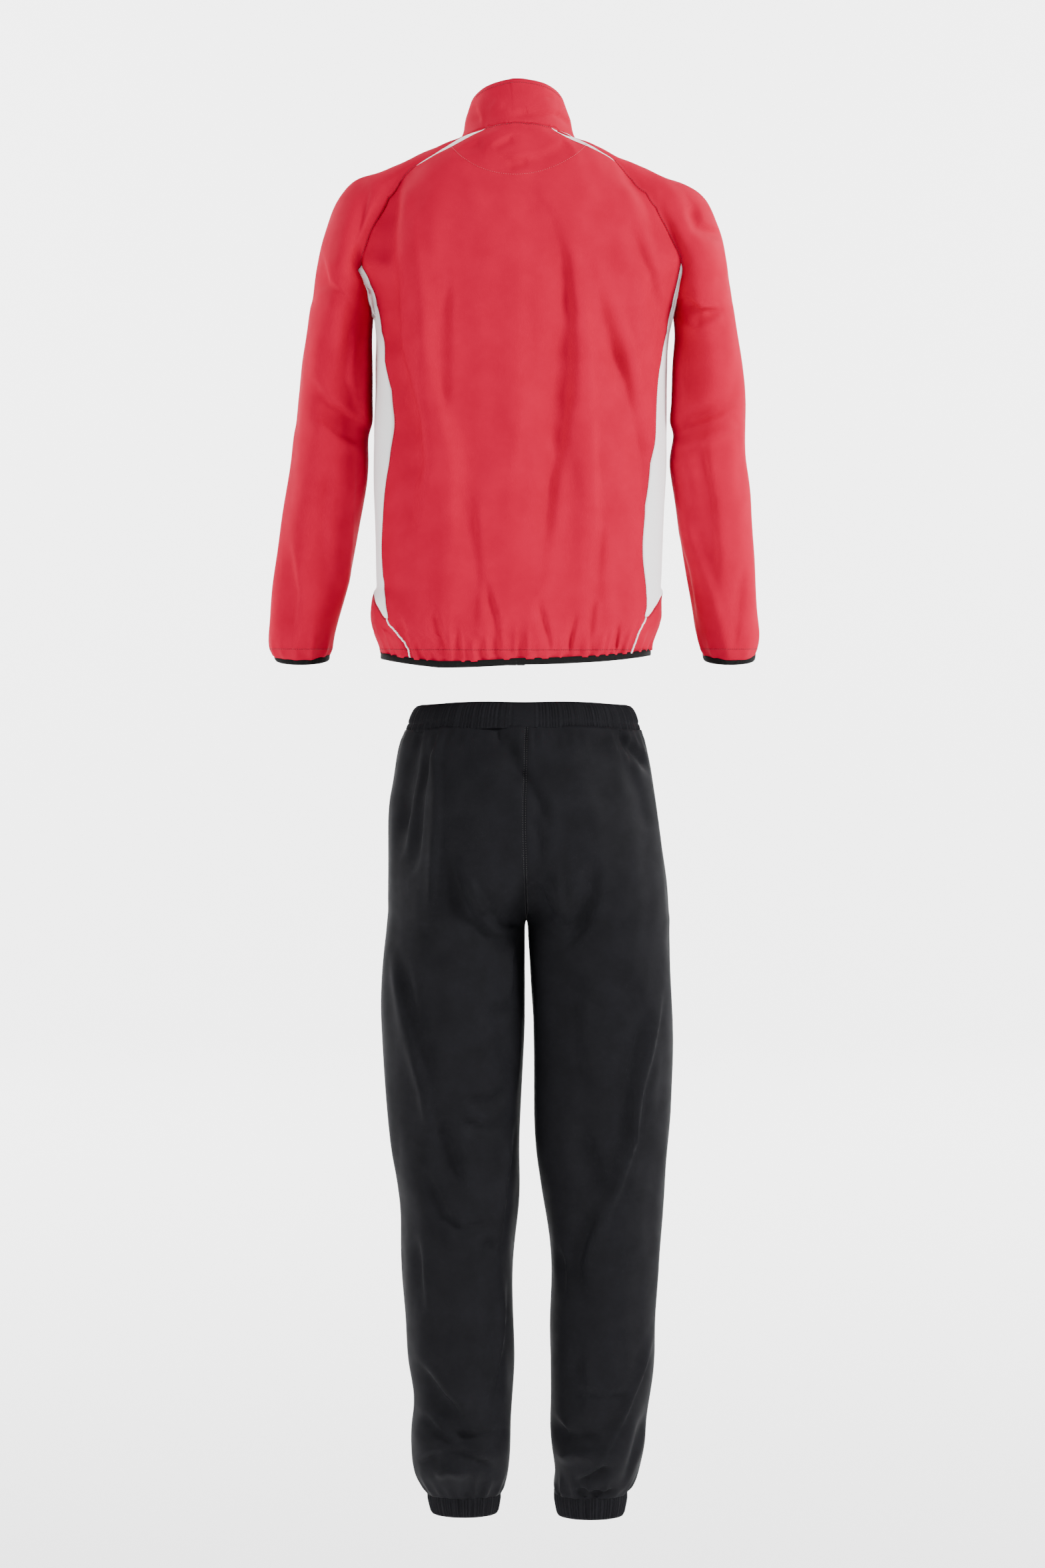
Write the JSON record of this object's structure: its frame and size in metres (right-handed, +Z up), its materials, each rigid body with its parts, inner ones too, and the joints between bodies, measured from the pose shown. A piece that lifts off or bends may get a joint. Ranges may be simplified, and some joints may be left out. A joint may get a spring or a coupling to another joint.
{
  "type": "tracksuit",
  "caption": "Two-piece tracksuit, filled out and hollow: raglan jacket with stand-up collar and front zip above trousers with elastic waist and gathered ankle cuffs.",
  "frame": {"origin": "middle of the neck opening at the base of the collar, where the wearer's neck and shoulders hold the jacket", "axes": "+Z up; the back faces -Y and the zip +Y; the wearer's left is -X"},
  "size_m": [0.6456, 0.2903, 1.8783],
  "materials": {
    "red_cloth": "smooth polyester interlock, soft satin sheen",
    "white_cloth": "smooth polyester interlock, soft satin sheen",
    "black_cloth": "smooth polyester interlock, soft satin sheen",
    "elastic": "matt woven elastic binding",
    "zip_tape": "woven zip tape",
    "zip_teeth": "moulded nylon coil",
    "zip_metal": "black enamelled zinc alloy"
  },
  "bodies": {
    "garment": {"jacket_back": "red_cloth", "jacket_front_left": "red_cloth", "jacket_front_right": "red_cloth", "jacket_side_left": "white_cloth", "jacket_side_right": "white_cloth", "sleeve_left": "red_cloth", "sleeve_right": "red_cloth", "neck_insert_left": "white_cloth", "neck_insert_right": "white_cloth", "collar": "red_cloth", "hem_piping_left": "white_cloth", "hem_piping_right": "white_cloth", "hem_binding": "elastic", "cuff_binding_left": "elastic", "cuff_binding_right": "elastic", "zip_tape_left": "zip_tape", "zip_tape_right": "zip_tape", "zip_chain": "zip_teeth", "zip_slider": "zip_metal", "trouser_back_left": "black_cloth", "trouser_back_right": "black_cloth", "trouser_front_left": "black_cloth", "trouser_front_right": "black_cloth", "waistband": "black_cloth", "ankle_cuff_left": "black_cloth", "ankle_cuff_right": "black_cloth"},
    "pull": {"zip_pull": "zip_metal"}
  },
  "joints": [
    {"name": "pull_swing", "type": "hinge", "parent": "garment", "child": "pull", "pos_m": [0, 0.0578, -0.00354], "axis": [1, 0, 0], "range_deg": [0, 165]}
  ]
}
